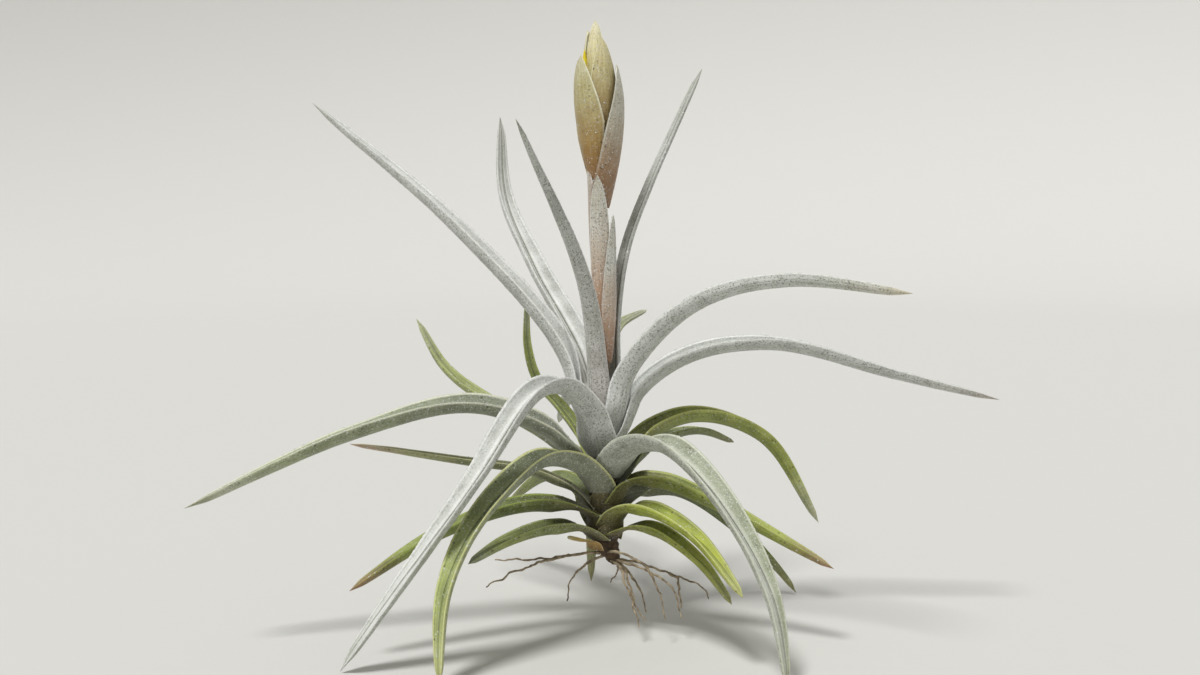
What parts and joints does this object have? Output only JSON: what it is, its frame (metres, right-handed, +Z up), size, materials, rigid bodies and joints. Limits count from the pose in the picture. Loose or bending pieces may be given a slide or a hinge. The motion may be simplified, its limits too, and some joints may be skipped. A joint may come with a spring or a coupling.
{
  "type": "flowering air plant",
  "caption": "Air plant in bud: a rosette of tapering channelled leaves, silver above and green below, round a bracted stalk with one spike, standing on its recurved leaf tips.",
  "frame": {"origin": "middle of the plant's bounding box in plan, on the surface that it stands on", "axes": "+Z up along the stem, +X to the right as seen from the front, +Y to the back"},
  "size_m": [0.2272, 0.1384, 0.172],
  "materials": {
    "silver_leaf": "matte, scaly",
    "grey_leaf": "matte, scaly",
    "green_leaf": "satin",
    "dead_leaf": "matte, dry",
    "stem_bark": "matte, rough",
    "stalk": "satin",
    "scape_bract": "matte, papery",
    "floral_bract": "satin, papery",
    "petals": "satin"
  },
  "bodies": {
    "root": {"stem": "stem_bark", "leaf_01_dead": "dead_leaf", "leaf_02": "green_leaf", "leaf_03": "green_leaf", "leaf_04": "green_leaf", "leaf_05": "green_leaf", "leaf_06": "green_leaf", "leaf_07": "green_leaf", "leaf_08": "green_leaf", "leaf_09": "green_leaf", "leaf_10": "green_leaf", "leaf_11": "green_leaf", "leaf_12": "grey_leaf", "leaf_13": "grey_leaf", "leaf_14": "grey_leaf", "leaf_15": "grey_leaf", "leaf_16": "grey_leaf", "leaf_17": "grey_leaf", "leaf_18": "grey_leaf", "leaf_19": "silver_leaf", "leaf_20": "silver_leaf", "leaf_21": "silver_leaf", "leaf_22": "silver_leaf", "leaf_23": "silver_leaf", "leaf_24": "silver_leaf", "leaf_25": "silver_leaf", "leaf_26": "silver_leaf", "leaf_27": "silver_leaf", "stalk": "stalk", "scape_bract_1": "scape_bract", "scape_bract_2": "scape_bract", "scape_bract_3": "scape_bract", "scape_bract_4": "scape_bract", "floral_bract_1": "floral_bract", "floral_bract_2": "floral_bract", "floral_bract_3": "floral_bract", "floral_bract_4": "floral_bract", "floral_bract_5": "floral_bract", "floral_bract_6": "floral_bract", "floral_bract_7": "floral_bract", "petals": "petals"}
  },
  "joints": []
}
